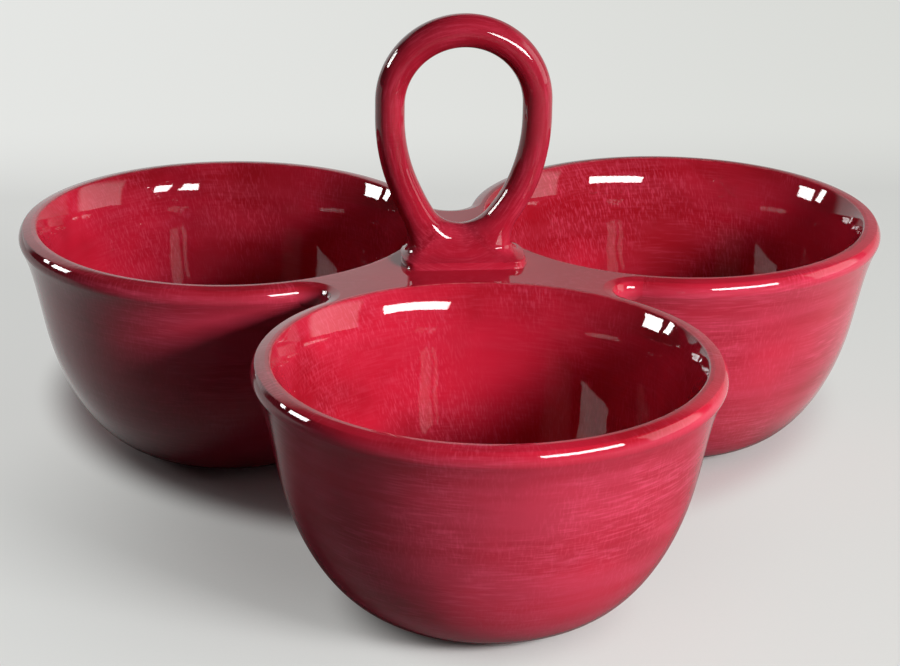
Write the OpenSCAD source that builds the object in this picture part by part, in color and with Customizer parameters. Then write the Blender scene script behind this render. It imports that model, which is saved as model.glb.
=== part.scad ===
// Three-bowl serving dish with a loop handle: three round bowls in a cloverleaf, a flat bridge let into
// their rims, and an upright handle standing on the bridge. Millimetres, +Z up. The origin lies on the
// table under the middle of the dish, and the front bowl is toward -Y.

/* [Bowls] */
// Radius of each bowl over its lip
bowl_r = 70; // [56:0.5:90]
// Height of each bowl from the table to the top of its lip
bowl_h = 78.5; // [66:0.5:100]
// Thickness of the bowl's wall
wall = 6.3; // [5:0.1:8]
// Radius that rounds the lip's outer edge
lip_round = 3.4; // [2.6:0.1:4]
// Radius of the lip's inner edge
lip_edge = 0.9; // [0.5:0.1:1.5]
// Width of the flat land between those two edges
lip_land = 0.9; // [0.4:0.1:2]
// Outward lean of the wall's outside just under the lip, in degrees
lip_lean = 26; // [14:1:34]
// Radius of the flare inside the lip
flare_r = 24; // [14:0.5:32]
// Outward lean of that flare at the lip's inner edge, in degrees
flare_lean = 35; // [24:1:44]
// Radius of the bowl where the belly turns into the shoulder
belly_r = 62.4; // [50:0.1:66]
// Height of that turn above the table
belly_h = 45; // [34:0.5:54]
// Outward lean of the wall at that turn, in degrees
belly_lean = 12; // [6:1:20]
// Outer radius of the foot ring
foot_r = 27.5; // [20:0.5:38]
// Width of the foot ring
foot_w = 4.5; // [3:0.1:8]
// Height of the foot ring, and depth of the hollow inside it
foot_h = 1.5; // [0.8:0.1:3]

/* [Bridge] */
// Gap between the lips of two neighbouring bowls
bowl_gap = 10.4; // [6:0.1:18]
// Thickness of the bridge
bridge_t = 5.8; // [5:0.1:8]
// How far each arm runs out past the narrowest place between two bowls
arm_reach = 10.2; // [4:0.1:18]

/* [Handle] */
// Height of the handle above the rims
handle_h = 81; // [72:0.5:110]
// Height above the rims at which the loop is widest
widest_h = 48; // [42:0.5:54]
// Width of the loop over its outside
loop_w = 56.2; // [48:0.2:70]
// Thickness of the loop from front to back
loop_d = 11.5; // [8:0.1:16]
// Thickness of the loop at its top
top_t = 10.6; // [7:0.1:14]
// Width of the finger opening
opening_w = 37.4; // [30:0.2:42]
// Radius of the rounded floor of the finger opening
opening_floor_r = 10.5; // [6:0.1:13]
// Height of that floor above the rims
opening_h = 12.3; // [9:0.1:18]
// Width of the neck at its waist
neck_w = 32; // [26:0.2:38]
// Height of the waist above the rims
waist_h = 6.5; // [5:0.1:11]
// Radius of the hollow curve from the waist up into the loop
neck_r = 15; // [8:0.1:24]
// Width of the handle's foot
handle_foot_w = 40; // [34:0.2:44]
// Depth of the handle's foot from front to back
handle_foot_d = 14.6; // [12:0.1:20]
// Height of the upright edge round the handle's foot
handle_foot_t = 1.2; // [0.6:0.1:2.4]
// Reach of the rounding on the edges of the neck
neck_round = 6.5; // [4:0.1:9]

/* [Hidden] */
$fn = 96;
glaze = "firebrick";
overrun = 1;

// Handles of the wall's curves, as shares of the lengths that they span
belly_pull_shares = [0.46, 0.55];
shoulder_pull_shares = [0.35, 0.23];
inside_pull_share = 0.33;
curve_steps = 14;
lip_steps = 6;

// The lip: a narrow flat land between a broad outer edge and a small inner one
lip_out = [bowl_r - lip_round, bowl_h - lip_round];
lip_in = [lip_out[0] - lip_land, bowl_h - lip_edge];
seat_r = lip_out[0] - lip_land / 2;
lean_dir = [sin(lip_lean), cos(lip_lean)];
belly_dir = [sin(belly_lean), cos(belly_lean)];
under_lip = lip_out + lip_round * [cos(lip_lean), -sin(lip_lean)];
flare_centre = lip_in + (flare_r - lip_edge) * [cos(flare_lean), -sin(flare_lean)];
flare_foot = flare_centre + flare_r * [-cos(belly_lean), sin(belly_lean)];
foot_edge = [foot_r, foot_h];
belly = [belly_r, belly_h];
belly_inside = belly + wall * [-belly_dir[1], belly_dir[0]];

// Layout: the bowls' axes stand on a ring round the handle's axis
bowl_angles = [270, 150, 30];
third = 360 / len(bowl_angles);
axis_half_gap = bowl_r + bowl_gap / 2;
ring_r = axis_half_gap / sin(third / 2);
narrow_r = ring_r * cos(third / 2);
hub = [0, ring_r / 4];

// Each corner of the bridge is a circle that touches both neighbouring lips
corner_r = (pow(axis_half_gap, 2) + pow(arm_reach, 2) - pow(bowl_r, 2)) / (2 * (bowl_r - arm_reach));
corner_ring_r = narrow_r + arm_reach + corner_r;
// Half of the angle, seen from a bowl's axis, over which the bridge is let into its lip
notch_half = atan2(corner_ring_r * sin(third / 2), ring_r - corner_ring_r * cos(third / 2));

// Handle, in its own plane: x across and z above the rims
loop_half = loop_w / 2;
gap_half = opening_w / 2;
neck_half = neck_w / 2;
loop_top_z = handle_h - loop_half;
gap_top_z = handle_h - top_t - gap_half;
loop_pinch = loop_half - neck_half;
loop_drop = widest_h - waist_h;
loop_side_r = (pow(loop_pinch, 2) + pow(loop_drop, 2)) / (2 * loop_pinch) - neck_r;
loop_side = [loop_half - loop_side_r, widest_h];
neck_centre = [neck_half + neck_r, waist_h];
gap_floor = [0, opening_h + opening_floor_r];
gap_drop = widest_h - gap_floor[1];
gap_side_r = (pow(gap_half, 2) + pow(gap_drop, 2) - pow(opening_floor_r, 2))
    / (2 * (gap_half - opening_floor_r));
gap_side = [gap_half - gap_side_r, widest_h];
// Angles below the horizontal at which each side curve hands over to the next one
loop_turn = atan2(loop_drop, neck_centre[0] - loop_side[0]);
gap_turn = atan2(gap_drop, -gap_side[0]);
// Sweep of the foot's hollow flare, short of level where it meets the upright edge
flare_sweep = 80;
round_power = 6;
// Rows of the handle's skin: over the top, down the sides, round the neck, down the flare, across the base
top_rows = 12;
side_rows = 10;
neck_rows = 5;
flare_rows = 5;
base_rows = 6;
floor_rows = neck_rows + flare_rows + base_rows + 1;
row_bend_shares = [0.35, 0.85];
skin_steps = 9;

function bezier(a, b, c, d, t) =
    pow(1 - t, 3) * a + 3 * pow(1 - t, 2) * t * b + 3 * (1 - t) * pow(t, 2) * c + pow(t, 3) * d;
function bezier_slope(a, b, c, d, t) =
    3 * pow(1 - t, 2) * (b - a) + 6 * (1 - t) * t * (c - b) + 3 * pow(t, 2) * (d - c);
function unit(v) = v / norm(v);
function polar(r, a) = [r * cos(a), r * sin(a)];
function mix(a, b, t) = a + (b - a) * t;
function arc(centre, r, from, to, steps) =
    [for (i = [0 : steps]) centre + polar(r, mix(from, to, i / steps))];

// Controls of the wall's curves: the belly from the foot up, the hollow shoulder up to the lip, and
// inside, the wall from the belly up to the flare
belly_curve = [
    foot_edge,
    foot_edge + [(belly_r - foot_r) * belly_pull_shares[0], 0],
    belly - belly_dir * belly_h * belly_pull_shares[1],
    belly
];
shoulder_curve = [
    belly,
    belly + belly_dir * (bowl_h - belly_h) * shoulder_pull_shares[0],
    under_lip - lean_dir * (bowl_h - belly_h) * shoulder_pull_shares[1],
    under_lip
];
inside_pull = norm(flare_foot - belly_inside) * inside_pull_share;
inside_curve = [
    belly_inside,
    belly_inside + belly_dir * inside_pull,
    flare_foot - belly_dir * inside_pull,
    flare_foot
];

// A wall curve, set in by a depth along its own normals
function wall_curve(c, depth) = [
    for (i = [0 : curve_steps])
        let (t = i / curve_steps)
        let (dir = unit(bezier_slope(c[0], c[1], c[2], c[3], t)))
        bezier(c[0], c[1], c[2], c[3], t) + depth * [-dir[1], dir[0]]
];
function reversed(list) = [for (i = [len(list) - 1 : -1 : 0]) list[i]];
function tail(list) = [for (i = [1 : len(list) - 1]) list[i]];

bowl_profile = concat(
    [[0, foot_h], [foot_r - foot_w, foot_h], [foot_r - foot_w, 0], [foot_r, 0]],
    wall_curve(belly_curve, 0),
    tail(wall_curve(shoulder_curve, 0)),
    tail(arc(lip_out, lip_round, -lip_lean, 90, lip_steps)),
    arc(lip_in, lip_edge, 90, 180 - flare_lean, lip_steps),
    tail(arc(flare_centre, flare_r, 180 - flare_lean, 180 - belly_lean, lip_steps)),
    tail(reversed(wall_curve(inside_curve, 0))),
    tail(reversed(wall_curve(belly_curve, wall))),
    [[0, foot_h + wall]]
);

// Plan of the part of a bowl's lip that the bridge takes over, with the bowl's axis at the origin
// and the handle's axis along +X
module notch_plan() {
    reach = bowl_r + overrun;
    difference() {
        polygon([
            [0, 0],
            polar(reach / cos(notch_half), -notch_half),
            polar(reach / cos(notch_half), notch_half)
        ]);
        circle(seat_r);
    }
}

module bowl(angle) {
    translate(hub + polar(ring_r, angle))
        rotate(angle + 180)
            difference() {
                rotate_extrude()
                    polygon(bowl_profile);
                translate([0, 0, bowl_h - bridge_t])
                    linear_extrude(bridge_t + overrun)
                        notch_plan();
            }
}

// Space outside a rounded corner of the bridge, as a half profile about the corner's axis: the upper
// edge carries on the lip's outer edge, and the rest of the thickness rounds the lower one
under_round = bridge_t - lip_round;
corner_profile = concat(
    [[0, overrun], [corner_r + lip_round, overrun]],
    arc([corner_r + lip_round, -lip_round], lip_round, 90, 180, lip_steps),
    tail(arc([corner_r + under_round, -lip_round], under_round, 180, 270, lip_steps)),
    [[corner_r + under_round, -bridge_t - overrun], [0, -bridge_t - overrun]]
);

module bridge() {
    star = [
        for (a = bowl_angles)
            each [polar(ring_r, a), polar(corner_ring_r, a - third / 2)]
    ];
    translate([hub[0], hub[1], bowl_h])
        difference() {
            translate([0, 0, -bridge_t])
                linear_extrude(bridge_t)
                    difference() {
                        polygon(star);
                        for (a = bowl_angles)
                            translate(polar(ring_r, a))
                                circle(seat_r);
                    }
            for (a = bowl_angles)
                translate(polar(corner_ring_r, a - third / 2))
                    rotate_extrude()
                        polygon(corner_profile);
        }
}

// Share of the foot's flare that is reached at a height: 0 from the waist up, 1 on the upright edge
function flare_share(z) =
    let (drop_share = min(1, max(0, waist_h - z) / (waist_h - handle_foot_t)))
    let (a = asin(drop_share * sin(flare_sweep)))
    (1 - cos(a)) / (1 - cos(flare_sweep));
function neck_edge(z) = mix(neck_half, handle_foot_w / 2, flare_share(z));
function depth_half(z) = mix(loop_d, handle_foot_d, flare_share(z)) / 2;

// Distance of a point of the handle's plane, on the side of +x, from the finger opening
function from_gap(p) =
    p[1] > gap_top_z ? norm(p - [0, gap_top_z]) - gap_half :
    p[1] > widest_h ? p[0] - gap_half :
    atan2(widest_h - p[1], p[0] - gap_side[0]) < gap_turn ? norm(p - gap_side) - gap_side_r :
    norm(p - gap_floor) - opening_floor_r;

// Distance of such a point from the handle's outline
function from_edge(p) =
    p[1] > loop_top_z ? loop_half - norm(p - [0, loop_top_z]) :
    p[1] > widest_h ? loop_half - p[0] :
    p[1] < waist_h ? neck_edge(p[1]) - p[0] :
    atan2(widest_h - p[1], p[0] - loop_side[0]) < loop_turn ? loop_side_r - norm(p - loop_side) :
    norm(p - neck_centre) - neck_r;

// Half thickness of the handle at such a point: both edges are rounded over half the width between
// them, or over the neck's own rounding where the handle is wide
function quarter_round(t) = sqrt(max(0, 1 - pow(1 - min(1, max(0, t)), 2)));
function half_depth(p) =
    let (gap = from_gap(p))
    let (edge = from_edge(p))
    let (middle = (gap + edge) / 2)
    let (reach = middle / pow(1 + pow(middle / neck_round, round_power), 1 / round_power))
    depth_half(p[1]) * quarter_round(gap / reach) * quarter_round(edge / reach);

// One row of the skin on the side of +x: where it leaves the opening, how it bends, where it ends on the
// outline, and whether that end lies on the flat base. A row bends by first going down and then out
function row(from, to, bend, on_base) =
    let (straight = (from + to) / 2)
    let (bent = [mix(from[0], to[0], row_bend_shares[0]), mix(from[1], to[1], row_bend_shares[1])])
    [from, mix(straight, bent, bend), to, on_base];
function floor_point(i) = gap_floor + polar(opening_floor_r, mix(-gap_turn, -90, i / floor_rows));
function top_row(t) =
    let (a = mix(90, 0, t))
    row([0, gap_top_z] + polar(gap_half, a), [0, loop_top_z] + polar(loop_half, a), 0, false);
function side_row(t) =
    row(gap_side + polar(gap_side_r, -gap_turn * t), loop_side + polar(loop_side_r, -loop_turn * t), 0, false);
function neck_row(t, i) =
    row(floor_point(i), neck_centre + polar(neck_r, mix(180 - loop_turn, 180, t)), t, false);
function flare_row(t, i) =
    let (z = mix(waist_h, handle_foot_t, t))
    row(floor_point(i), [neck_edge(z), z], 1, false);
function base_row(t, i) =
    row(floor_point(i), [handle_foot_w / 2 * (1 - t), 0], 1, t > 0);

rows = concat(
    [for (i = [0 : top_rows]) top_row(i / top_rows)],
    [for (i = [0 : side_rows]) side_row(i / side_rows)],
    [for (i = [1 : neck_rows]) neck_row(i / neck_rows, i)],
    [for (i = [1 : flare_rows]) flare_row(i / flare_rows, i + neck_rows)],
    [for (i = [0 : base_rows]) base_row(i / base_rows, i + neck_rows + flare_rows + 1)]
);

// Front half of one row, from the opening to the outline, or to the base's edge and its middle line
function row_share(j, on_base) =
    on_base ? 1 - cos(90 * min(1, j / (skin_steps - 1))) : (1 - cos(180 * j / skin_steps)) / 2;
function row_point(r, t) = pow(1 - t, 2) * r[0] + 2 * (1 - t) * t * r[1] + pow(t, 2) * r[2];
function front_points(r, side) = [
    for (j = [0 : skin_steps])
        let (p = row_point(r, row_share(j, r[3])))
        let (depth = j == 0 || j == skin_steps ? 0 : half_depth(p))
        [side * p[0], -depth, p[1]]
];
function closed_row(r, side) =
    let (front = front_points(r, side))
    concat(front, [for (j = [skin_steps - 1 : -1 : 1]) [front[j][0], -front[j][1], front[j][2]]]);

module loop_handle_skin() {
    last = len(rows) - 1;
    rings = concat(
        [for (i = [0 : last]) closed_row(rows[i], 1)],
        [for (i = [last - 1 : -1 : 1]) closed_row(rows[i], -1)]
    );
    across = len(rings[0]);
    around = len(rings);
    function at(i, j) = (i % around) * across + j % across;
    polyhedron(
        points = [for (ring = rings) each ring],
        faces = [
            for (i = [0 : around - 1], j = [0 : across - 1])
                each [
                    [at(i, j), at(i, j + 1), at(i + 1, j + 1)],
                    [at(i, j), at(i + 1, j + 1), at(i + 1, j)]
                ]
        ]
    );
}

module front_bowl() { color(glaze) bowl(bowl_angles[0]); }
module left_bowl() { color(glaze) bowl(bowl_angles[1]); }
module right_bowl() { color(glaze) bowl(bowl_angles[2]); }
module rim_bridge() { color(glaze) bridge(); }
module loop_handle() { color(glaze) translate([hub[0], hub[1], bowl_h]) loop_handle_skin(); }

front_bowl();
left_bowl();
right_bowl();
rim_bridge();
loop_handle();
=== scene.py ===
import bmesh
import bpy
import numpy as np
from mathutils import Matrix, Vector


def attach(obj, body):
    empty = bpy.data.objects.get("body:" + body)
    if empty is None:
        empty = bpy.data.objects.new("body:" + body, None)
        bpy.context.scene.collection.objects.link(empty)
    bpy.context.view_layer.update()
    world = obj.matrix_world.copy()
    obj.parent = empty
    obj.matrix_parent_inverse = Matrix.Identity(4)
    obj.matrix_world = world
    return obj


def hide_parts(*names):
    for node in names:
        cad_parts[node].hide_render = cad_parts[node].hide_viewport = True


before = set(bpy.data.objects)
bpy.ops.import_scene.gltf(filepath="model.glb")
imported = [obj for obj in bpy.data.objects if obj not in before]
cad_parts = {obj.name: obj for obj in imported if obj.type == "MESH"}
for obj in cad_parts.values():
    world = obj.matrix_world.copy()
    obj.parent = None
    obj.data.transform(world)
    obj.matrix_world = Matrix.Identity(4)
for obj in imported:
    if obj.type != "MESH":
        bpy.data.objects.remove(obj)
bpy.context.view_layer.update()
print("solids loaded:", ", ".join(sorted(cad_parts)))

mm = 0.001
bpy.context.scene.view_settings.view_transform = "Standard"

# the camera: where it stands in metres, how far it is turned from +Y, tipped down and rolled, in degrees;
# its lens and sensor in millimetres, and the nearest thing it sees, in metres
cameraForm = {
    "place": (-0.07509, -0.79239, 0.36400),
    "turn": 4.979, "tip": 20.832, "roll": 0.781,
    "lens": 107.366, "sensor": 36, "nearest": 0.05,
}


def makeCamera(form):
    # the view line comes from turn and tip, and the roll turns the picture's two axes about it
    turn, tip, roll = np.radians([form["turn"], form["tip"], form["roll"]])
    ahead = Vector((np.sin(turn) * np.cos(tip), np.cos(turn) * np.cos(tip), -np.sin(tip)))
    level = Vector((np.cos(turn), -np.sin(turn), 0))
    above = level.cross(ahead)
    across = np.cos(roll) * level + np.sin(roll) * above
    upward = -np.sin(roll) * level + np.cos(roll) * above
    lens = bpy.data.cameras.new("photoCamera")
    lens.lens = form["lens"]
    lens.sensor_width = form["sensor"]
    lens.sensor_fit = "HORIZONTAL"
    lens.clip_start = form["nearest"]
    camera = bpy.data.objects.new("photoCamera", lens)
    facing = Matrix((across, upward, -ahead)).transposed().to_4x4()
    camera.matrix_world = Matrix.Translation(form["place"]) @ facing
    bpy.context.collection.objects.link(camera)
    bpy.context.scene.camera = camera


makeCamera(cameraForm)
print("camera placed")


def arcOf(centre, radius, start, end, count):
    # points of a circle, evenly turned from one angle to another, in degrees
    angle = np.radians(np.linspace(start, end, count))
    return np.asarray(centre) + radius * np.stack([np.cos(angle), np.sin(angle)], -1)


def bezierOf(controls, count, depth=0.0):
    # the cubic weights of four controls, moved by a depth, one or many, along the curve's left normal
    t = np.linspace(0, 1, count)[:, None]
    a, b, c, d = [np.asarray(p, float) for p in controls]
    point = (1 - t) ** 3 * a + 3 * (1 - t) ** 2 * t * b + 3 * (1 - t) * t ** 2 * c + t ** 3 * d
    slope = (1 - t) ** 2 * (b - a) + 2 * (1 - t) * t * (c - b) + t ** 2 * (d - c)
    slope /= np.linalg.norm(slope, axis=1, keepdims=True)
    return point + np.reshape(depth, (-1, 1)) * np.stack([-slope[:, 1], slope[:, 0]], -1)


def easeOf(value, start, end):
    # 0 before start, 1 after end, and 3t^2 - 2t^3 between them
    t = np.clip((value - start) / (end - start), 0, 1)
    return t * t * (3 - 2 * t)


def dirOf(degrees):
    # unit vectors in the level plane, for angles in degrees
    angle = np.radians(degrees)
    return np.stack([np.cos(angle), np.sin(angle)], -1)


# every mesh: the angle in degrees past which an edge is shaded sharp, and how near points are one, in metres
meshForm = {"sharpAngle": 40, "touch": 1e-7}


def gridPiece(name, points, index, layers, skins, closedRows=False, skinOf=None, merge=False):
    # quads join each grid point to the next ones along both parameters; the columns close on themselves,
    # and so do the rows where closedRows is set; a quad with a side of no length is a triangle or is left out
    beside = np.roll(index, -1, axis=0)
    if closedRows:
        corners = [index, beside, np.roll(beside, -1, axis=1), np.roll(index, -1, axis=1)]
    else:
        corners = [index[:, :-1], beside[:, :-1], beside[:, 1:], index[:, 1:]]
    quads = np.stack(corners, -1).reshape(-1, 4)
    skinIndex = np.zeros(len(quads), int) if skinOf is None else skinOf.reshape(-1)
    lowFlat = quads[:, 0] == quads[:, 1]
    highFlat = quads[:, 2] == quads[:, 3]
    sets = [
        (~lowFlat & ~highFlat, [0, 1, 2, 3]),
        (lowFlat & ~highFlat, [0, 2, 3]),
        (~lowFlat & highFlat, [0, 1, 2]),
    ]
    flat = points.reshape(-1, 3)
    tris = np.concatenate([quads[:, [0, 1, 2]], quads[:, [0, 2, 3]]])
    a, b, c = flat[tris[:, 0]], flat[tris[:, 1]], flat[tris[:, 2]]
    outward = np.einsum("ij,ij->", a, np.cross(b, c)) > 0  # six times the volume, with its sign
    used, place = np.unique(quads, return_inverse=True)
    quads = place.reshape(quads.shape)
    faces = []
    for keep, order in sets:
        faces += quads[keep][:, order if outward else order[::-1]].tolist()
    mesh = bpy.data.meshes.new(name)
    mesh.from_pydata(flat[used] * mm, [], faces)
    for layerName, values in layers.items():
        values = values.reshape(-1, 3)[used] if values.ndim == 3 else values.reshape(-1)[used]
        layer = mesh.attributes.new(layerName, "FLOAT_VECTOR" if values.ndim == 2 else "FLOAT", "POINT")
        layer.data.foreach_set("vector" if values.ndim == 2 else "value", values.astype(np.float32).ravel())
    for skin in skins:
        mesh.materials.append(skin)
    mesh.polygons.foreach_set("material_index", np.concatenate([skinIndex[keep] for keep, order in sets]))
    if merge:
        work = bmesh.new()
        work.from_mesh(mesh)
        bmesh.ops.remove_doubles(work, verts=work.verts, dist=meshForm["touch"])
        bmesh.ops.dissolve_degenerate(work, edges=work.edges, dist=meshForm["touch"])
        work.to_mesh(mesh)
        work.free()
    mesh.validate()
    mesh.shade_smooth()
    mesh.set_sharp_from_angle(angle=np.radians(meshForm["sharpAngle"]))
    piece = bpy.data.objects.new(name, mesh)
    bpy.context.collection.objects.link(piece)
    print(name, "has", len(mesh.polygons), "faces")
    return piece


def feed(tree, socket, value):
    # a socket takes either another node's output or a plain value
    if isinstance(value, bpy.types.NodeSocket):
        tree.links.new(value, socket)
    else:
        socket.default_value = value


def mathOf(tree, operation, *values):
    # one sum of the Math node
    node = tree.nodes.new("ShaderNodeMath")
    node.operation = operation
    for socket, value in zip(node.inputs, values):
        feed(tree, socket, value)
    return node.outputs[0]


def spanOf(tree, value, start, end, low=0.0, high=1.0):
    # eased step from low to high while the value goes from start to end
    node = tree.nodes.new("ShaderNodeMapRange")
    node.interpolation_type = "SMOOTHSTEP"
    for socket, given in zip(node.inputs, (value, start, end, low, high)):
        feed(tree, socket, given)
    return node.outputs[0]


def tintOf(tree, share, first, second):
    # first colour where the share is 0, second where it is 1
    node = tree.nodes.new("ShaderNodeMix")
    node.data_type = "RGBA"
    for socket, given in zip((node.inputs[0], node.inputs[6], node.inputs[7]), (share, first, second)):
        feed(tree, socket, given)
    return node.outputs[2]


shiftShares = (1.0, 0.7, 1.3)  # how far a shift of 1 moves a noise along each of its directions


def grainOf(tree, way, stretch, detail=1.0, shift=0.0):
    # noise whose grains per metre differ along the three directions of the way vector
    scaled = tree.nodes.new("ShaderNodeVectorMath")
    scaled.operation = "MULTIPLY_ADD"
    feed(tree, scaled.inputs[0], way)
    scaled.inputs[1].default_value = stretch
    scaled.inputs[2].default_value = [shift * share for share in shiftShares]
    noise = tree.nodes.new("ShaderNodeTexNoise")
    noise.inputs["Scale"].default_value = 1
    noise.inputs["Detail"].default_value = detail
    tree.links.new(scaled.outputs[0], noise.inputs["Vector"])
    return noise.outputs[0]


def groupOf(name, inputs, outputs):
    # empty node group with named sockets; gives its tree and both of its ends
    tree = bpy.data.node_groups.new(name, "ShaderNodeTree")
    for socketName, kind in inputs:
        tree.interface.new_socket(socketName, in_out="INPUT", socket_type=kind)
    for socketName, kind in outputs:
        tree.interface.new_socket(socketName, in_out="OUTPUT", socket_type=kind)
    return tree, tree.nodes.new("NodeGroupInput"), tree.nodes.new("NodeGroupOutput")


def placeGroup(tree, group, **given):
    # a node group set into a tree, with its inputs fed by name; gives its outputs
    node = tree.nodes.new("ShaderNodeGroup")
    node.node_tree = group
    for socketName, value in given.items():
        feed(tree, node.inputs[socketName], value)
    return node.outputs


def layerOf(tree, name, socket="Fac"):
    # the values that a mesh holds under a name
    node = tree.nodes.new("ShaderNodeAttribute")
    node.attribute_name = name
    return node.outputs[socket]


# the brush: strokes up the wall and round it, each with its patches, soft bands and clouds; grains per metre,
# and the span of the noise over which the mark comes in
brushForm = {
    "upright": {"grains": (1700, 1700, 400), "detail": 1.5, "shift": 0.0, "span": (0.44, 0.74)},
    "uprightPatch": {"grains": (34, 34, 34), "detail": 2.0, "shift": 3.1, "span": (0.36, 0.64)},
    "level": {"grains": (130, 130, 1400), "detail": 2.0, "shift": 7.7, "span": (0.42, 0.74)},
    "levelPatch": {"grains": (34, 34, 34), "detail": 2.0, "shift": 11.3, "span": (0.30, 0.66)},
    "band": {"grains": (16, 16, 150), "detail": 2.0, "shift": 5.2, "span": (0.34, 0.68)},
    "cloud": {"grains": (20, 20, 28), "detail": 3.0, "shift": 1.9, "span": (0.32, 0.68)},
}


def makeBrushGroup(form):
    # each mark is stretched noise above a level, and the strokes are that times a patch of slow noise
    tree, start, end = groupOf(
        "glazeBrush",
        [("Way", "NodeSocketVector")],
        [("Upright", "NodeSocketFloat"), ("Level", "NodeSocketFloat"),
         ("Band", "NodeSocketFloat"), ("Cloud", "NodeSocketFloat")],
    )
    marks = {}
    for mark, given in form.items():
        noise = grainOf(tree, start.outputs["Way"], given["grains"], given["detail"], given["shift"])
        marks[mark] = spanOf(tree, noise, *given["span"])
    feed(tree, end.inputs["Upright"], mathOf(tree, "MULTIPLY", marks["upright"], marks["uprightPatch"]))
    feed(tree, end.inputs["Level"], mathOf(tree, "MULTIPLY", marks["level"], marks["levelPatch"]))
    feed(tree, end.inputs["Band"], marks["band"])
    feed(tree, end.inputs["Cloud"], marks["cloud"])
    return tree


# thin glaze on the edges, and pinholes: grains per metre, how ragged the edge is and over what span it thins,
# the pinholes' size and core as shares of a cell, and the span of the cells' chance that keeps a few
edgeForm = {
    "broken": (260, 260, 260), "brokenDetail": 3.0, "ragged": 0.7, "thinSpan": (0.30, 0.95),
    "speck": 620.0, "speckSize": 0.16, "speckCore": 0.6, "speckFew": (0.955, 0.97),
}


def makeEdgeGroup(form):
    # the edge layer, worn by noise; specks are the middles of scattered cells of which few are kept
    tree, start, end = groupOf(
        "glazeEdge",
        [("Edge", "NodeSocketFloat")],
        [("Thin", "NodeSocketFloat"), ("Speck", "NodeSocketFloat")],
    )
    place = tree.nodes.new("ShaderNodeTexCoord").outputs["Object"]
    broken = grainOf(tree, place, form["broken"], form["brokenDetail"])
    rag = mathOf(tree, "MULTIPLY_ADD", broken, form["ragged"], -form["ragged"] / 2)
    ragged = mathOf(tree, "ADD", start.outputs["Edge"], rag)
    feed(tree, end.inputs["Thin"], spanOf(tree, ragged, *form["thinSpan"]))
    cells = tree.nodes.new("ShaderNodeTexVoronoi")
    cells.inputs["Scale"].default_value = form["speck"]
    tree.links.new(place, cells.inputs["Vector"])
    dot = spanOf(tree, cells.outputs["Distance"], form["speckSize"], form["speckSize"] * form["speckCore"])
    few = spanOf(tree, cells.outputs["Color"], *form["speckFew"])
    feed(tree, end.inputs["Speck"], mathOf(tree, "MULTIPLY", dot, few))
    return tree


# the unevenness of a poured glaze: long waves and a share of fine orange peel, in grains per metre
rippleForm = {"wave": (95, 95, 95), "peel": (420, 420, 420), "peelShift": 4.0, "peelShare": 0.12}


def makeRippleGroup(form):
    # slow noise plus a share of finer noise
    tree, start, end = groupOf("glazeRipple", [], [("Height", "NodeSocketFloat")])
    place = tree.nodes.new("ShaderNodeTexCoord").outputs["Object"]
    wave = grainOf(tree, place, form["wave"])
    peel = grainOf(tree, place, form["peel"], shift=form["peelShift"])
    feed(tree, end.inputs["Height"], mathOf(tree, "MULTIPLY_ADD", peel, form["peelShare"], wave))
    return tree


brushGroup = makeBrushGroup(brushForm)
edgeGroup = makeEdgeGroup(edgeForm)
rippleGroup = makeRippleGroup(rippleForm)

# colours of the glaze where it lies deep, plain, brushed thin and broken over an edge; each share of brushing
# is given for the outside and the inside; the span of roughness, and the height of the ripple in metres
bowlGlazeForm = {
    "deep": (0.33, 0.006, 0.014, 1), "plain": (0.57, 0.013, 0.037, 1), "brushed": (0.68, 0.065, 0.125, 1),
    "thin": (0.62, 0.13, 0.15, 1), "speck": (0.74, 0.34, 0.34, 1),
    "upright": (0.22, 0.46), "level": (0.42, 0.18), "band": (0.24, 0.10), "even": (0.24, 0.0),
    "gloss": (0.02, 0.04), "ior": 1.46, "ripple": 0.00007,
}
handleGlazeForm = {
    **bowlGlazeForm,
    "deep": (0.27, 0.005, 0.014, 1), "plain": (0.45, 0.009, 0.028, 1), "brushed": (0.66, 0.060, 0.115, 1),
    "upright": (0.10, 0.10), "level": (0.40, 0.40), "band": (0.14, 0.14), "even": (0.04, 0.04),
}


def makeGlaze(name, form):
    # deep to plain by clouds, then brushed by strokes, thin on edges, specks on top; smooth gloss over it all
    material = bpy.data.materials.new(name)
    material.use_nodes = True
    tree = material.node_tree
    shader = tree.nodes["Principled BSDF"]
    brush = placeGroup(tree, brushGroup, Way=layerOf(tree, "brushWay", "Vector"))
    edge = placeGroup(tree, edgeGroup, Edge=layerOf(tree, "thinEdge"))
    inside = layerOf(tree, "inside")
    brushed = spanOf(tree, inside, 0.0, 1.0, *form["even"])
    for mark in ("Upright", "Level", "Band"):
        share = spanOf(tree, inside, 0.0, 1.0, *form[mark.lower()])
        brushed = mathOf(tree, "MULTIPLY_ADD", brush[mark], share, brushed)
    brushed = mathOf(tree, "MINIMUM", brushed, 1.0)
    colour = tintOf(tree, brush["Cloud"], form["deep"], form["plain"])
    colour = tintOf(tree, brushed, colour, form["brushed"])
    colour = tintOf(tree, edge["Thin"], colour, form["thin"])
    colour = tintOf(tree, edge["Speck"], colour, form["speck"])
    tree.links.new(colour, shader.inputs["Base Color"])
    gloss = spanOf(tree, brush["Cloud"], 0.0, 1.0, *form["gloss"])
    tree.links.new(gloss, shader.inputs["Roughness"])
    shader.inputs["IOR"].default_value = form["ior"]
    bump = tree.nodes.new("ShaderNodeBump")
    bump.inputs["Strength"].default_value = 1
    bump.inputs["Distance"].default_value = form["ripple"]
    tree.links.new(placeGroup(tree, rippleGroup)["Height"], bump.inputs["Height"])
    tree.links.new(bump.outputs[0], shader.inputs["Normal"])
    return material


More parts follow.
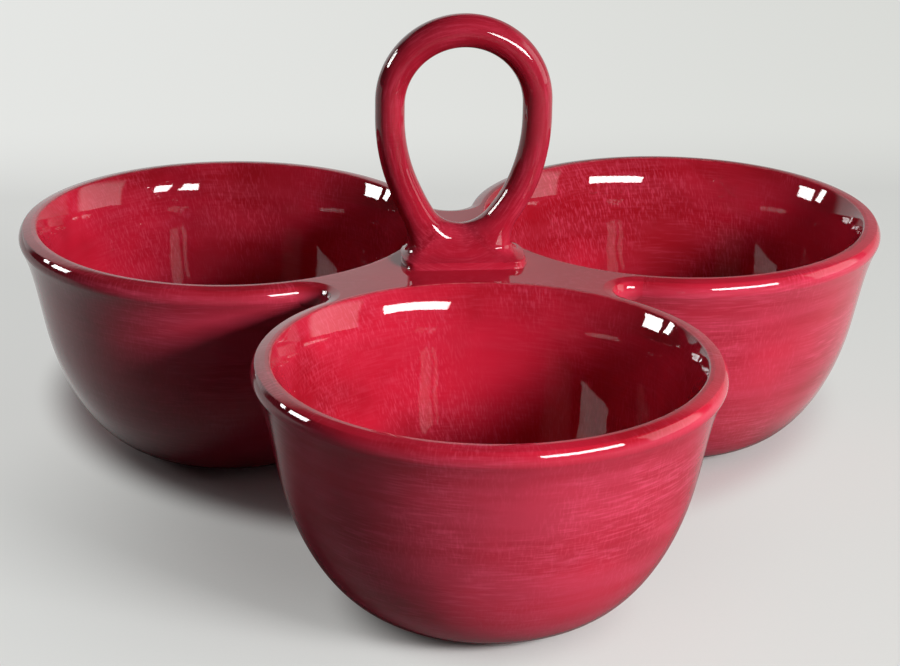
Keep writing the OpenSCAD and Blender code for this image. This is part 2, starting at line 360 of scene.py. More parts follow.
# bare fired clay on the ring that the bowl stands on: its colours, its mottle and grain in grains per metre,
# the span of roughness, and the grain's height in metres
clayForm = {
    "pale": (0.62, 0.50, 0.38, 1), "dark": (0.44, 0.33, 0.24, 1), "grit": (0.24, 0.16, 0.11, 1),
    "mottle": (160, 160, 160), "mottleDetail": 4.0, "mottleSpan": (0.35, 0.65),
    "grain": (2400, 2400, 2400), "grainDetail": 2.0, "grainSpan": (0.3, 0.7),
    "roughness": (0.72, 0.92), "height": 0.00012,
}


def makeClay(form):
    # mottled by slow noise, with dark grit from the speck mask and a rough grainy skin
    material = bpy.data.materials.new("bareClay")
    material.use_nodes = True
    tree = material.node_tree
    shader = tree.nodes["Principled BSDF"]
    place = tree.nodes.new("ShaderNodeTexCoord").outputs["Object"]
    mottle = spanOf(tree, grainOf(tree, place, form["mottle"], form["mottleDetail"]), *form["mottleSpan"])
    speck = placeGroup(tree, edgeGroup)["Speck"]
    colour = tintOf(tree, mottle, form["dark"], form["pale"])
    tree.links.new(tintOf(tree, speck, colour, form["grit"]), shader.inputs["Base Color"])
    grain = grainOf(tree, place, form["grain"], form["grainDetail"])
    rough = spanOf(tree, grain, *form["grainSpan"], *form["roughness"])
    tree.links.new(rough, shader.inputs["Roughness"])
    bump = tree.nodes.new("ShaderNodeBump")
    bump.inputs["Distance"].default_value = form["height"]
    tree.links.new(grain, bump.inputs["Height"])
    tree.links.new(bump.outputs[0], shader.inputs["Normal"])
    return material


bowlGlaze = makeGlaze("bowlGlaze", bowlGlazeForm)
handleGlaze = makeGlaze("handleGlaze", handleGlazeForm)
bareClay = makeClay(clayForm)
print("glazes mixed")

# the bowls, in millimetres and degrees; the lip's outside is a row of arcs, each with a radius, two angles
# and a number of points; then the rows of each stretch, and how the glaze lies on it
bowlForm = {
    "radius": 70, "height": 78.5, "wall": 6.3,
    "lipRound": 3.4, "lipEdge": 0.9, "lipLand": 1.9,
    "lipArcs": ((3.6, -26, 12, 9), (5.5, 12, 26, 6), (6, 26, 38, 6),
                (0.7, 38, 74, 8), (22, 74, 81, 6), (1.2, 81, 90, 4)),
    "flareRadius": 26.5, "flareLean": (35, 15),
    "bellyRadius": 62.4, "bellyHeight": 45, "bellyLean": 12,
    "footRadius": 27.5, "footWidth": 4.5, "footHeight": 1.5, "footRound": 0.6,
    "bellyPull": (0.46, 0.55), "shoulderPull": (0.35, 0.23), "insidePull": 0.33,
    "wallTaper": 0.7, "taperShare": 0.6,
    "gap": 10.4, "armReach": 10.2, "bridgeThick": 5.8, "ledgeShare": 0.5,
    "underShares": (0, 0.3, 0.6, 0.85), "floorShares": (0.85, 0.66, 0.45, 0.22, 0),
    "footRows": 5, "bellyRows": 47, "shoulderRows": 22, "underLipRows": 3, "inEdgeRows": 9,
    "flareRows": 15, "insideRows": 17, "innerBellyRows": 45, "fineSteps": 200,
    "notchColumns": 65, "wholeColumns": 193,
    "strokeSlant": 0.2, "strokeGirth": 62, "strokeShift": (0.31, 0.17, 0.53),
    "thinShare": 0.6, "thinReach": 0.4, "insideFrom": (-8.0, -4.5), "floorFade": (2, 24),
    "bareRows": (9, 15),
}
bowlSides = {"front_bowl": 270, "left_bowl": 150, "right_bowl": 30}
halfSide = 60  # degrees from a bowl's side to the middle of the gap beside it


def layOut(form):
    # the bowls' axes stand 120 degrees apart on a ring round the handle, and between two bowls a corner
    # circle touches both lips; the handle is a quarter of the ring behind the middle of the whole
    halfGap = form["radius"] + form["gap"] / 2
    ring = halfGap / np.sin(np.pi / 3)
    reach = form["armReach"]
    corner = (halfGap ** 2 + reach ** 2 - form["radius"] ** 2) / (2 * (form["radius"] - reach))
    cornerRing = ring / 2 + reach + corner
    return {
        "ring": ring, "corner": corner, "cornerRing": cornerRing, "hub": np.array([0, ring / 4]),
        "seat": form["radius"] - form["lipRound"] - form["lipLand"] / 2,
        "notch": np.degrees(np.arctan2(cornerRing * np.sin(np.pi / 3), ring - cornerRing / 2)),
        "cornerTurn": np.degrees(np.arctan2(halfGap, cornerRing - ring / 2)),
    }


layout = layOut(bowlForm)
notchAngles = np.linspace(-layout["notch"], layout["notch"], bowlForm["notchColumns"])


def lipProfile(form):
    # each arc of the lip's outside starts where the last one ends, with the same slope: from the side, over a
    # tight corner, to a top that falls slightly outward and ends at the bowl's height
    lastRadius = form["lipArcs"][0][0]
    centre = np.array([form["radius"] - lastRadius, form["height"]])
    arcs = []
    for lipRadius, turnFrom, turnTo, count in form["lipArcs"]:
        centre = centre + (lastRadius - lipRadius) * dirOf(turnFrom)
        arcs.append(arcOf(centre, lipRadius, turnFrom, turnTo, count))
        lastRadius = lipRadius
    rows = np.concatenate(arcs[:1] + [arc[1:] for arc in arcs[1:]])
    rows[:, 1] += form["height"] - rows[-1, 1]
    return rows


def bowlProfile(form):
    # radius and height of each row: underside and foot, belly, shoulder, lip, flare, inside wall and inner
    # floor, and the length along them from the lip's inner edge
    radius, height = form["radius"], form["height"]
    foot, ringWidth, ringHeight = form["footRadius"], form["footWidth"], form["footHeight"]
    small, footRows = form["footRound"], form["footRows"]
    bellyTurn = np.radians(form["bellyLean"])
    along = np.array([np.sin(bellyTurn), np.cos(bellyTurn)])
    inEdge = np.array([radius - form["lipRound"] - form["lipLand"], height - form["lipEdge"]])
    lipRows = lipProfile(form)
    underLip, lean = lipRows[0], np.radians(-form["lipArcs"][0][1])
    flareStart, flareEnd = np.radians(form["flareLean"])
    flareReach = form["flareRadius"] - form["lipEdge"]
    flareCentre = inEdge + flareReach * np.array([np.cos(flareStart), -np.sin(flareStart)])
    flareFoot = flareCentre + form["flareRadius"] * np.array([-np.cos(flareEnd), np.sin(flareEnd)])
    belly = np.array([form["bellyRadius"], form["bellyHeight"]])
    bellyInside = belly + form["wall"] * np.array([-along[1], along[0]])
    start = np.array([foot, ringHeight])
    rise = height - form["bellyHeight"]
    pull, shoulder = form["bellyPull"], form["shoulderPull"]
    bellyCurve = [start, start + [(belly[0] - foot) * pull[0], 0], belly - along * belly[1] * pull[1], belly]
    shoulderCurve = [belly, belly + along * rise * shoulder[0],
                     underLip - np.array([np.sin(lean), np.cos(lean)]) * rise * shoulder[1], underLip]
    reach = np.linalg.norm(flareFoot - bellyInside) * form["insidePull"]
    insideCurve = [flareFoot, flareFoot - np.array([np.sin(flareEnd), np.cos(flareEnd)]) * reach,
                   bellyInside + along * reach, bellyInside]

    inner = foot - ringWidth
    underRadii = inner * np.array(form["underShares"])
    under = np.concatenate([
        np.stack([underRadii, np.full(len(underRadii), ringHeight)], -1),
        arcOf((inner - small, ringHeight - small), small, 90, 0, footRows),
        arcOf((inner + small, small), small, 180, 270, footRows),
        arcOf((foot - small, small), small, 270, 360, footRows),
        arcOf((foot + small, ringHeight - small), small, 180, 90, footRows),
    ])
    upShare = np.linspace(1, 0, form["innerBellyRows"])
    thinning = form["wall"] - form["wallTaper"] * easeOf(upShare, 0, form["taperShare"])
    floorRadii = foot * np.array(form["floorShares"])
    bellyRows = bezierOf(bellyCurve, form["bellyRows"])
    shoulderFine = bezierOf(shoulderCurve, form["fineSteps"])
    ledge = height - form["bridgeThick"]
    wanted = np.concatenate([
        np.linspace(belly[1], ledge, form["shoulderRows"])[1:],
        np.linspace(ledge, underLip[1], form["underLipRows"])[1:],
    ])
    parts = {
        "under": under,
        "belly": bellyRows[bellyRows[:, 0] > foot + 2 * small],
        "shoulder": np.stack([np.interp(wanted, shoulderFine[:, 1], shoulderFine[:, 0]), wanted], -1),
        "lip": lipRows[1:],
        "seat": [[layout["seat"], height]],
        "inEdge": arcOf(inEdge, form["lipEdge"], 90, 180 - form["flareLean"][0], form["inEdgeRows"]),
        "flare": arcOf(flareCentre, form["flareRadius"], *(180 - np.array(form["flareLean"])),
                       form["flareRows"])[1:],
        "inside": bezierOf(insideCurve, form["insideRows"])[1:],
        "innerBelly": bezierOf(bellyCurve, form["innerBellyRows"], thinning)[::-1][1:],
        "floor": np.stack([floorRadii, np.full(len(floorRadii), ringHeight + thinning[0])], -1),
    }
    rows = np.concatenate([np.asarray(p, float) for p in parts.values()])
    ends = np.cumsum([len(p) for p in parts.values()])
    part = dict(zip(parts, zip(np.concatenate([[0], ends[:-1]]), ends)))
    ledgeRow = part["shoulder"][0] + form["shoulderRows"] - 2  # the row at the bridge's underside
    length = np.concatenate([[0], np.cumsum(np.linalg.norm(np.diff(rows, axis=0), axis=1))])
    length -= length[(part["inEdge"][0] + part["inEdge"][1]) // 2]
    return rows, part, ledgeRow, length


def makeBowl(name, side, form, shift):
    # the profile turned about the bowl's axis; over the notch the rows between ledge and seat run in along
    # the ledge and straight up, where the bridge takes the lip over
    rows, part, ledgeRow, length = bowlProfile(form)
    seatRow = part["seat"][0]
    cut = rows.copy()
    share = np.linspace(0, 1, seatRow - ledgeRow + 1)
    turns = [0, form["ledgeShare"], 1]
    ledgeRadius, ledgeHeight = rows[ledgeRow]
    cut[ledgeRow:seatRow + 1, 0] = np.interp(share, turns, [ledgeRadius, layout["seat"], layout["seat"]])
    cut[ledgeRow:seatRow + 1, 1] = np.interp(share, turns, [ledgeHeight, ledgeHeight, form["height"]])

    wholeAngles = np.linspace(layout["notch"], 360 - layout["notch"], form["wholeColumns"])
    angles = np.concatenate([notchAngles, wholeAngles])
    notched = np.arange(len(angles)) < len(notchAngles)
    radius = np.where(notched[:, None], cut[None, :, 0], rows[None, :, 0])
    z = np.where(notched[:, None], cut[None, :, 1], rows[None, :, 1])
    turn = np.radians(angles + side + 180)[:, None]
    axis = layout["hub"] + layout["ring"] * dirOf(side)
    points = np.stack([axis[0] + radius * np.cos(turn), axis[1] + radius * np.sin(turn), z], -1)

    index = np.arange(points.shape[0] * points.shape[1]).reshape(points.shape[:2])
    same = np.all(np.isclose(rows, cut), axis=1)
    index[len(notchAngles), same] = index[len(notchAngles) - 1, same]
    index[-1, same] = index[0, same]
    index[:, 0] = index[0, 0]
    index[:, -1] = index[0, -1]

    girth = form["strokeGirth"]
    slanted = turn + form["strokeSlant"] * np.maximum(length, 0)[None, :] / girth
    down = np.broadcast_to(length, slanted.shape)
    way = np.stack([girth * np.cos(slanted), girth * np.sin(slanted), down], -1) * mm + shift
    whole = np.ones(len(angles))[:, None]
    thin = form["thinShare"] * np.exp(-(length / form["thinReach"]) ** 2) * whole
    thin[:len(notchAngles), ledgeRow:seatRow] = 0
    inside = easeOf(length, *form["insideFrom"]) * easeOf(rows[:, 0], *form["floorFade"]) * whole
    bare = np.zeros(index.shape, int)[:, :-1]
    bare[:, slice(*form["bareRows"])] = 1  # the part of the foot ring that touches the table
    layers = {"brushWay": way, "thinEdge": thin, "inside": inside}
    piece = gridPiece(name + "_glazed", points, index, layers, [bowlGlaze, bareClay], skinOf=bare)
    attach(piece, "root")
    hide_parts(name)


for number, (bowlName, bowlSide) in enumerate(bowlSides.items()):
    makeBowl(bowlName, bowlSide, bowlForm, np.array(bowlForm["strokeShift"]) * number)
print("bowls turned")

# the bridge between the rims, in millimetres; its middle lines start at a distance from the hub and run a
# share of the way beyond it, and each corner's edge passes into the lip over its last share
bridgeForm = {
    "thick": 5.8, "cornerThick": 9, "cornerIn": 3.5, "spineFrom": 18, "spineShare": 0.2, "blendFrom": 0.72,
    "cornerColumns": 49, "topRows": 13, "lowRows": 7, "strokeShare": 0.3,
}


def makeBridge(form, bowl):
    # columns go round the outline, along three seats and three corners; rows go out from each arm's middle
    # line over the top, down the edge and back below; a corner's edge carries on the bowl's lip, and in its
    # middle goes further down and draws in with the square of the depth
    thick, corner, seat, cornerRing = form["thick"], layout["corner"], layout["seat"], layout["cornerRing"]
    rows, part, ledgeRow, length = bowlProfile(bowl)
    lip = rows[ledgeRow:part["seat"][0] + 1][::-1]
    lipInside = easeOf(length[ledgeRow:part["seat"][0] + 1][::-1], *bowl["insideFrom"])
    lipOut = corner + bowl["radius"] - lip[:, 0]  # distance from the corner's axis
    lipDown = lip[:, 1] - bowl["height"]
    widest = int(np.argmin(lipOut))
    sink = np.linspace(0, 1, len(lip) - widest)
    edgeOut, edgeDown = lipOut.copy(), lipDown.copy()
    edgeOut[widest:] += lipOut[widest] - lipOut[widest:] + form["cornerIn"] * sink ** 2
    edgeDown[widest:] = lipDown[widest] * (1 - sink) - form["cornerThick"] * sink

    gamma = np.linspace(layout["cornerTurn"], -layout["cornerTurn"], form["cornerColumns"])
    blend = easeOf(np.abs(gamma) / layout["cornerTurn"], form["blendFrom"], 1.0)[:, None]
    out = edgeOut * (1 - blend) + lipOut * blend
    down = edgeDown * (1 - blend) + lipDown * blend

    rims, drops, spines = [], [], []
    for side in sorted(bowlSides.values()):
        beta = notchAngles[::-1]
        rim = layout["ring"] * dirOf(side) + seat * dirOf(side + 180 + beta)
        arm = side - halfSide * np.sign(beta)
        away = np.sum(rim * dirOf(arm), -1)
        spine = form["spineShare"] * np.maximum(0, away - form["spineFrom"])
        rims.append(np.repeat(rim[:, None, :], len(edgeOut), 1))
        drops.append(np.broadcast_to(np.linspace(0, -thick, len(edgeOut)), (len(beta), len(edgeOut))))
        spines.append(spine[:, None] * dirOf(arm))
        between = side + halfSide
        centre = cornerRing * dirOf(between)
        rims.append(centre + out[..., None] * dirOf(between + 180 + gamma)[:, None, :])
        drops.append(down)
        spines.append(np.repeat((spine[-1] * dirOf(between))[None], len(gamma), 0))
    rims, drops, spines = (np.concatenate(stretch) for stretch in (rims, drops, spines))

    topShare = np.linspace(0, 1, form["topRows"])[:-1][None, :, None]
    lowShare = np.linspace(1, 0, form["lowRows"])[1:][None, :, None]
    top = spines[:, None] + topShare * (rims[:, :1] - spines[:, None])
    low = spines[:, None] + lowShare * (rims[:, -1:] - spines[:, None])
    flat = np.concatenate([top, rims, low], 1)
    lowZ = drops[:, -1:] * lowShare[..., 0] - thick * (1 - lowShare[..., 0])
    z = np.concatenate([np.zeros(top.shape[:2]), drops, lowZ], 1)
    points = np.concatenate([flat + layout["hub"], (z + bowl["height"])[..., None]], -1)
    index = np.arange(points.shape[0] * points.shape[1]).reshape(points.shape[:2])
    thin = np.zeros(index.shape)
    inside = np.concatenate([np.ones(top.shape[1]), lipInside, np.zeros(low.shape[1])]) + thin
    layers = {"brushWay": points * mm * form["strokeShare"], "thinEdge": thin, "inside": inside}
    piece = gridPiece("rim_bridge_glazed", points, index, layers, [bowlGlaze], merge=True)
    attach(piece, "root")
    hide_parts("rim_bridge")


makeBridge(bridgeForm, bowlForm)
print("bridge laid")

# the loop handle, in millimetres above the rims and degrees; then how its rows bend and the heights over
# which it leans, the rows of each stretch, and how the strokes lie on it
handleForm = {
    "height": 81, "widestHeight": 48, "loopWidth": 56.2, "loopDepth": 11.5, "topThick": 10.6,
    "openingWidth": 37.4, "openingFloor": 10.5, "openingHeight": 12.3,
    "neckWidth": 33.2, "waistHeight": 6.5, "neckHollow": 15, "neckRound": 6.5,
    "footWidth": 40, "footDepth": 21, "footThick": 2.4, "footSoft": 0.4, "footTight": 0.45,
    "slip": 0.4, "slipHeight": 0.7, "flareSweep": 80, "flareMost": 0.999, "roundPower": 6, "thinnest": 1e-6,
    "rowBend": (0.35, 0.85), "loopLean": -0.75, "leanFrom": (0, 6), "neckLean": -0.85, "neckLeanTo": (10, 26),
    "topRows": 44, "sideRows": 36, "neckRows": 16, "flareRows": 44, "baseRows": 12,
    "skinSteps": 36, "fineSteps": 600, "lowest": 0.15,
    "strokeGirth": 45, "strokeShift": 1.7,
}


def makeHandle(form, bowl):
    # in the handle's own plane a point's distances from the opening and from the outline give its half
    # thickness, rounded over from both edges; rows run from the opening to the outline or base, and the skin
    # closes both ways
    half, gapHalf, neckHalf = form["loopWidth"] / 2, form["openingWidth"] / 2, form["neckWidth"] / 2
    widest, waist, hollow = form["widestHeight"], form["waistHeight"], form["neckHollow"]
    loopTop = form["height"] - half
    gapTop = form["height"] - form["topThick"] - gapHalf
    pinch, drop = half - neckHalf, widest - waist
    sideRadius = (pinch ** 2 + drop ** 2) / (2 * pinch) - hollow
    loopSide = np.array([half - sideRadius, widest])
    neckCentre = np.array([neckHalf + hollow, waist])
    floorRadius = form["openingFloor"]
    gapFloor = np.array([0, form["openingHeight"] + floorRadius])
    gapDrop = widest - gapFloor[1]
    gapRadius = (gapHalf ** 2 + gapDrop ** 2 - floorRadius ** 2) / (2 * (gapHalf - floorRadius))
    gapSide = np.array([gapHalf - gapRadius, widest])
    loopTurn = np.degrees(np.arctan2(drop, neckCentre[0] - loopSide[0]))
    gapTurn = np.degrees(np.arctan2(gapDrop, -gapSide[0]))
    sweep = np.sin(np.radians(form["flareSweep"]))

    def flareAt(z):
        # circular flare from the waist down, eased into the upright edge of the foot
        fall = np.maximum(0, waist - z) / (waist - form["footThick"]) * sweep
        share = 1 - np.sqrt(1 - np.minimum(fall, form["flareMost"]) ** 2)
        share = share / (1 - np.sqrt(1 - sweep ** 2))
        ease = np.maximum(form["footSoft"] - np.abs(share - 1), 0) / form["footSoft"]
        return np.minimum(share, 1) - ease ** 2 * form["footSoft"] / 4

    def slipAt(z):
        # little fillet of slip where the foot meets the bridge
        return form["slip"] * np.maximum(0, 1 - z / form["slipHeight"]) ** 2

    def neckAt(z):
        # half width below the waist: the neck, the flare's share of the way to the foot, and the slip
        return neckHalf + (form["footWidth"] / 2 - neckHalf) * flareAt(z) + slipAt(z)

    def fromGap(p):
        # distance from the opening, whose outline is a top arc, a straight side, a side arc and a floor arc
        x, z = p[..., 0], p[..., 1]
        top = np.hypot(x, z - gapTop) - gapHalf
        side = np.hypot(x - gapSide[0], z - gapSide[1]) - gapRadius
        low = np.hypot(x, z - gapFloor[1]) - floorRadius
        onSide = np.degrees(np.arctan2(widest - z, x - gapSide[0])) < gapTurn
        return np.where(z > gapTop, top, np.where(z > widest, x - gapHalf, np.where(onSide, side, low)))

    def fromEdge(p):
        # distance from the outline: a top arc, a straight side, a side arc, the hollow neck and the flare
        x, z = p[..., 0], p[..., 1]
        top = half - np.hypot(x, z - loopTop)
        side = sideRadius - np.hypot(x - loopSide[0], z - loopSide[1])
        neck = np.hypot(x - neckCentre[0], z - neckCentre[1]) - hollow
        onSide = np.degrees(np.arctan2(widest - z, x - loopSide[0])) < loopTurn
        upper = np.where(z > loopTop, top, np.where(z > widest, half - x, np.where(onSide, side, neck)))
        return np.where(z < waist, neckAt(z) - x, upper)

    def roundOver(t):
        # quarter circle from 0 at an edge to 1
        return np.sqrt(np.maximum(0, 1 - (1 - np.clip(t, 0, 1)) ** 2))

    def halfDepth(p):
        # the round reaches halfway across the loop but no further than the neck's round, less in the foot
        gap, edge = fromGap(p), fromEdge(p)
        middle = np.maximum((gap + edge) / 2, form["thinnest"])
        power = form["roundPower"]
        reach = middle / (1 + (middle / form["neckRound"]) ** power) ** (1 / power)
        reach = reach * (1 - form["footTight"] * flareAt(p[..., 1]))
        depth = (form["loopDepth"] + (form["footDepth"] - form["loopDepth"]) * flareAt(p[..., 1])) / 2
        return (depth + slipAt(p[..., 1])) * roundOver(gap / reach) * roundOver(edge / reach)

    topTurn = np.linspace(90, 0, form["topRows"] + 1)
    sideShare = np.linspace(0, 1, form["sideRows"] + 1)
    neckShare = np.linspace(0, 1, form["neckRows"] + 1)[1:]
    flareShare = np.linspace(0, 1, form["flareRows"] + 1)[1:]
    baseShare = np.linspace(0, 1, form["baseRows"] + 1)
    lowRows = len(neckShare) + len(flareShare) + len(baseShare)
    lowTurn = np.linspace(-gapTurn, -90, lowRows + 1)[1:]
    starts = np.concatenate([
        [0, gapTop] + gapHalf * dirOf(topTurn),
        gapSide + gapRadius * dirOf(-gapTurn * sideShare),
        gapFloor + floorRadius * dirOf(lowTurn),
    ])
    fineZ = np.linspace(waist, form["lowest"], form["fineSteps"])
    run = np.cumsum(np.hypot(np.diff(neckAt(fineZ), prepend=neckHalf), np.diff(fineZ, prepend=waist)))
    flareZ = np.interp(flareShare * run[-1], run, fineZ)  # even steps along the flare's curve
    ends = np.concatenate([
        [0, loopTop] + half * dirOf(topTurn),
        loopSide + sideRadius * dirOf(-loopTurn * sideShare),
        neckCentre + hollow * dirOf(180 - loopTurn + loopTurn * neckShare),
        np.stack([neckAt(flareZ), flareZ], -1),
        np.stack([neckAt(np.zeros(1)) * (1 - baseShare), 0 * baseShare], -1),
    ])
    # rows are straight across the loop, and bend more and more from the neck down
    straight = np.zeros(len(topTurn) + len(sideShare))
    bend = np.concatenate([straight, neckShare, np.ones(len(flareShare) + len(baseShare))])[:, None]
    onBase = np.arange(len(starts)) > len(starts) - len(baseShare)
    bent = starts + (ends - starts) * np.array(form["rowBend"])
    middle = (starts + ends) / 2 * (1 - bend) + bent * bend

    # steps along a row are closer at both ends; on the base the last one goes in to the middle plane
    steps = form["skinSteps"]
    count = np.arange(steps + 1)
    plain = (1 - np.cos(np.pi * count / steps)) / 2
    toBase = (1 - np.cos(np.pi * np.minimum(1, count / (steps - 1)))) / 2
    t = np.where(onBase[:, None], toBase, plain)[..., None]
    flat = (1 - t) ** 2 * starts[:, None] + 2 * (1 - t) * t * middle[:, None] + t ** 2 * ends[:, None]
    depth = halfDepth(flat)
    depth[:, [0, -1]] = 0
    front = np.stack([flat[..., 0], -depth, flat[..., 1]], -1)
    ring = np.concatenate([front, front[:, -2:0:-1] * [1, -1, 1]], 1)
    points = np.concatenate([ring, ring[-2:0:-1] * [-1, 1, 1]])
    # the loop stands a little to one side of its foot, and the neck a little more
    rise = easeOf(points[..., 2], *form["leanFrom"])
    neckRise = rise - easeOf(points[..., 2], *form["neckLeanTo"])
    points[..., 0] += form["loopLean"] * rise + form["neckLean"] * neckRise
    points += [layout["hub"][0], layout["hub"][1], bowl["height"]]

    index = np.arange(points.shape[0] * points.shape[1]).reshape(points.shape[:2])
    around = np.linspace(0, 2 * np.pi, len(points), endpoint=False)[:, None]
    across = np.cumsum(np.linalg.norm(np.diff(points, axis=1, prepend=points[:, :1]), axis=-1), 1)
    across = np.minimum(across, across[:, -1:] - across)
    girth = form["strokeGirth"] * dirOf(np.degrees(around)) + 0 * across[..., None]
    way = np.concatenate([girth, across[..., None]], -1) * mm + form["strokeShift"]
    none = np.zeros(index.shape)
    layers = {"brushWay": way, "thinEdge": none, "inside": none}
    piece = gridPiece("loop_handle_glazed", points, index, layers, [handleGlaze], closedRows=True)
    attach(piece, "root")
    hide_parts("loop_handle")


makeHandle(handleForm, bowlForm)
print("handle raised")

# the pale floor: half its width in metres, its colours as the camera sees it and as it throws light back, the
# plain background far off on the left and the right, with the metres over which it comes in; painted light on
# the paper near the bowls, held back by painted shadow edges, each a place, two distances and the least
# painted light kept inside; and what the glaze mirrors
floorForm = {
    "half": 4.0, "columns": 9,
    "colour": (0.75, 0.75, 0.74, 1), "shade": (0.71, 0.71, 0.70, 1), "bounce": (0.21, 0.21, 0.21, 1),
    "paperGrain": (900, 900, 900), "paperDetail": 2.0, "roughness": 0.9, "specular": 0.1,
    "farLeft": (0.84, 0.85, 0.83, 1), "farRight": (0.73, 0.74, 0.71, 1), "acrossSpan": (-0.35, 0.45),
    "farSpan": (0.10, 0.45), "farMost": 0.92,
    # painted shadow edges: round each place the painted light on the paper fades out between the two
    # distances, down to the least share
    "paintedShadows": ((0, 0.114, 0.126, 0.147, 0), (-0.03, -0.01, 0.03, 0.15, 0.5),
                (0, -0.065, 0.028, 0.05, 0), (0.075, 0.065, 0.028, 0.05, 0)),
    "paintedLightMost": 0.68, "mirrorSpan": (-0.06, 0.08), "mirrorMost": 1.05,
}


def makeFloor(form):
    # a level grid; its material is paper that turns to the plain pale background far behind the object and in
    # the glaze's reflections of what is behind; near the bowls the same pale emission is painted light on the
    # paper, which gives way along painted shadow edges to the lit paper with its real shadows
    steps = np.linspace(-form["half"], form["half"], form["columns"])
    x, y = np.meshgrid(steps, steps, indexing="ij")
    points = np.stack([x, y, 0 * x], -1).reshape(-1, 3)
    index = np.arange(x.size).reshape(x.shape)
    faces = np.stack([index[:-1, :-1], index[1:, :-1], index[1:, 1:], index[:-1, 1:]], -1).reshape(-1, 4)
    mesh = bpy.data.meshes.new("paleFloor")
    mesh.from_pydata(points, [], faces.tolist())
    material = bpy.data.materials.new("paleFloor")
    material.use_nodes = True
    tree = material.node_tree
    shader = tree.nodes["Principled BSDF"]
    place = tree.nodes.new("ShaderNodeTexCoord").outputs["Object"]
    light = tree.nodes.new("ShaderNodeLightPath")
    grain = grainOf(tree, place, form["paperGrain"], form["paperDetail"])
    paper = tintOf(tree, grain, form["shade"], form["colour"])
    paper = tintOf(tree, light.outputs["Is Camera Ray"], form["bounce"], paper)
    tree.links.new(paper, shader.inputs["Base Color"])
    shader.inputs["Roughness"].default_value = form["roughness"]
    shader.inputs["Specular IOR Level"].default_value = form["specular"]
    split = tree.nodes.new("ShaderNodeSeparateXYZ")
    tree.links.new(place, split.inputs[0])
    farShare = spanOf(tree, split.outputs["Y"], *form["farSpan"], 0.0, form["farMost"])
    # painted light: outside the painted shadow edges the camera sees this share of pale emission over the lit
    # paper
    paintedLightShare = form["paintedLightMost"]
    for shadeX, shadeY, nearFrom, nearTo, least in form["paintedShadows"]:
        away = tree.nodes.new("ShaderNodeVectorMath")
        away.operation = "DISTANCE"
        tree.links.new(place, away.inputs[0])
        away.inputs[1].default_value = (shadeX, shadeY, 0)
        free = spanOf(tree, away.outputs["Value"], nearFrom, nearTo, least)
        paintedLightShare = mathOf(tree, "MULTIPLY", free, paintedLightShare)
    farShare = mathOf(tree, "MAXIMUM", farShare, paintedLightShare)
    pale = tree.nodes.new("ShaderNodeEmission")
    across = spanOf(tree, split.outputs["X"], *form["acrossSpan"])
    tree.links.new(tintOf(tree, across, form["farLeft"], form["farRight"]), pale.inputs["Color"])
    # the glaze mirrors the pale behind the object, held back by the same painted shadow edges
    mirrorShare = spanOf(tree, split.outputs["Y"], *form["mirrorSpan"], 0.0, form["mirrorMost"])
    mirrorShare = mathOf(tree, "MULTIPLY", mirrorShare, paintedLightShare)
    mirrorShare = mathOf(tree, "MULTIPLY", mirrorShare, light.outputs["Is Glossy Ray"])
    mixed = tree.nodes.new("ShaderNodeMixShader")
    paleShare = mathOf(tree, "MULTIPLY_ADD", farShare, light.outputs["Is Camera Ray"], mirrorShare)
    tree.links.new(paleShare, mixed.inputs[0])
    tree.links.new(shader.outputs[0], mixed.inputs[1])
    tree.links.new(pale.outputs[0], mixed.inputs[2])
    tree.links.new(mixed.outputs[0], tree.nodes["Material Output"].inputs["Surface"])
    mesh.materials.append(material)
    floor = bpy.data.objects.new("paleFloor", mesh)
    bpy.context.collection.objects.link(floor)


makeFloor(floorForm)

# the room, as radiance by compass angle from the camera's side toward +X, in degrees: a pale wall behind, a
# white screen on the right, and dark in front and above; toneSpan is the part of the width over which the
# wall goes from its right to its left tone, top the heights between which both end, and seen what the
# camera sees
roomForm = {
    "dark": 0.03, "wallLeft": 0.97, "wallRight": 0.36, "toneSpan": (0.20, -0.05),
    "wallFrom": (118, 122), "wallTo": (-130, -140),
    "screen": 2.0, "screenFrom": (72, 75), "screenTo": (112, 106), "top": (0.48, 0.60), "seen": 0.75,
}


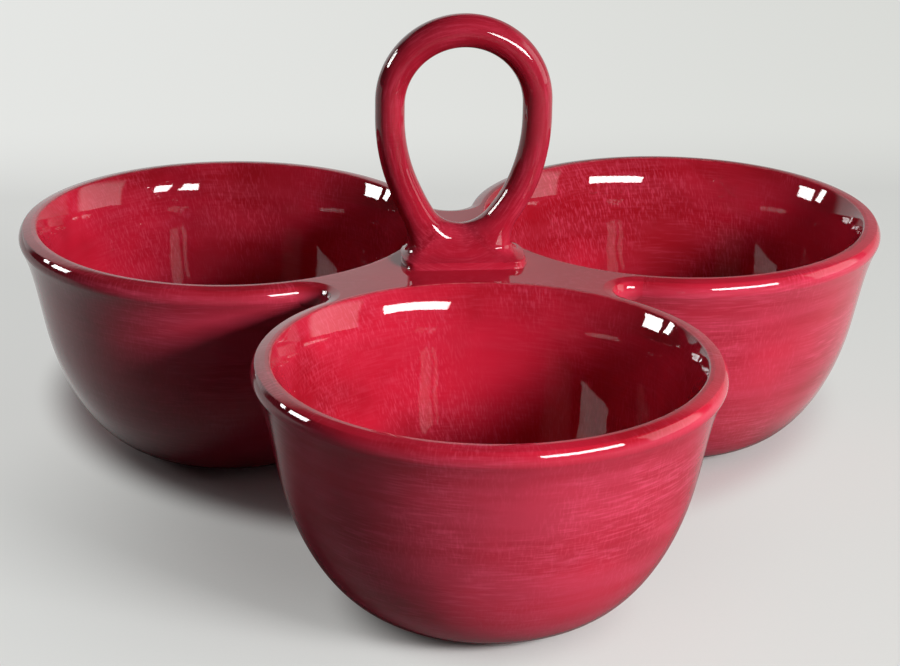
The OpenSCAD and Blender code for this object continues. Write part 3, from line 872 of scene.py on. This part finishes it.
def makeRoom(form):
    # the wall fades in beyond its angles on both sides and is brighter on the left; the screen is a band of
    # angles; both end upward, and the camera itself sees an even pale ground
    world = bpy.data.worlds.new("studioRoom")
    bpy.context.scene.world = world
    world.use_nodes = True
    tree = world.node_tree
    ground = tree.nodes["Background"]
    way = tree.nodes.new("ShaderNodeTexCoord").outputs["Generated"]
    split = tree.nodes.new("ShaderNodeSeparateXYZ")
    tree.links.new(way, split.inputs[0])
    ahead = mathOf(tree, "MULTIPLY", split.outputs["Y"], -1.0)
    angle = mathOf(tree, "ARCTAN2", split.outputs["X"], ahead)
    edges = ("wallFrom", "wallTo", "screenFrom", "screenTo")
    fades = {edge: spanOf(tree, angle, *np.radians(form[edge])) for edge in edges}
    wall = mathOf(tree, "ADD", fades["wallFrom"], fades["wallTo"])
    tone = spanOf(tree, split.outputs["X"], *form["toneSpan"], form["wallRight"], form["wallLeft"])
    screen = mathOf(tree, "MULTIPLY", fades["screenFrom"], fades["screenTo"])
    level = mathOf(tree, "MULTIPLY", wall, tone)
    level = mathOf(tree, "MULTIPLY_ADD", screen, form["screen"], level)
    level = mathOf(tree, "MULTIPLY", level, spanOf(tree, split.outputs["Z"], *form["top"][::-1]))
    level = mathOf(tree, "ADD", level, form["dark"])
    light = tree.nodes.new("ShaderNodeLightPath")
    white = (form["seen"], form["seen"], form["seen"], 1)
    feed(tree, ground.inputs["Color"], tintOf(tree, light.outputs["Is Camera Ray"], level, white))


makeRoom(roomForm)

# the softboxes: middle, point they face, width and height in metres, lean in degrees, radiance, and whether
# they show in the gloss and light the colours
lampForms = {
    "softboxRight": {"place": (0.557, -0.75, 0.45), "aim": (0, 0, 0.07), "size": (0.66, 0.19), "lean": 0,
                     "radiance": 29, "gloss": True, "colour": False},
    "fillRight": {"place": (0.62, -0.70, 0.45), "aim": (0, 0, 0.07), "size": (0.36, 0.19), "lean": 0,
                  "radiance": 56, "gloss": False, "colour": True},
    "softboxLeft": {"place": (-3.50, 1.09, 1.46), "aim": (0, 0, 0.07), "size": (0.85, 0.92), "lean": 18,
                    "radiance": 24, "gloss": True, "colour": False},
    "stripLeft": {"place": (-3.15, 1.83, 1.36), "aim": (0, 0, 0.07), "size": (0.27, 0.98), "lean": 30,
                  "radiance": 24, "gloss": True, "colour": False},
    "fillLeft": {"place": (-3.40, 1.30, 1.43), "aim": (0, 0, 0.07), "size": (1.1, 0.95), "lean": 20,
                 "radiance": 3, "gloss": False, "colour": True},
}


def makeLamp(name, form):
    # an even panel turned to its aim and leaned about that line; power = radiance times area times pi
    lamp = bpy.data.lights.new(name, "AREA")
    lamp.shape = "RECTANGLE"
    lamp.size, lamp.size_y = form["size"]
    lamp.energy = form["radiance"] * lamp.size * lamp.size_y * np.pi
    panel = bpy.data.objects.new(name, lamp)
    back = Vector(form["place"]) - Vector(form["aim"])
    facing = back.to_track_quat("Z", "Y").to_matrix() @ Matrix.Rotation(np.radians(form["lean"]), 3, "Z")
    panel.matrix_world = Matrix.Translation(form["place"]) @ facing.to_4x4()
    panel.visible_camera = False
    panel.visible_glossy, panel.visible_diffuse = form["gloss"], form["colour"]
    bpy.context.collection.objects.link(panel)


for lampName, lampForm in lampForms.items():
    makeLamp(lampName, lampForm)
print("floor, room and lamps set")
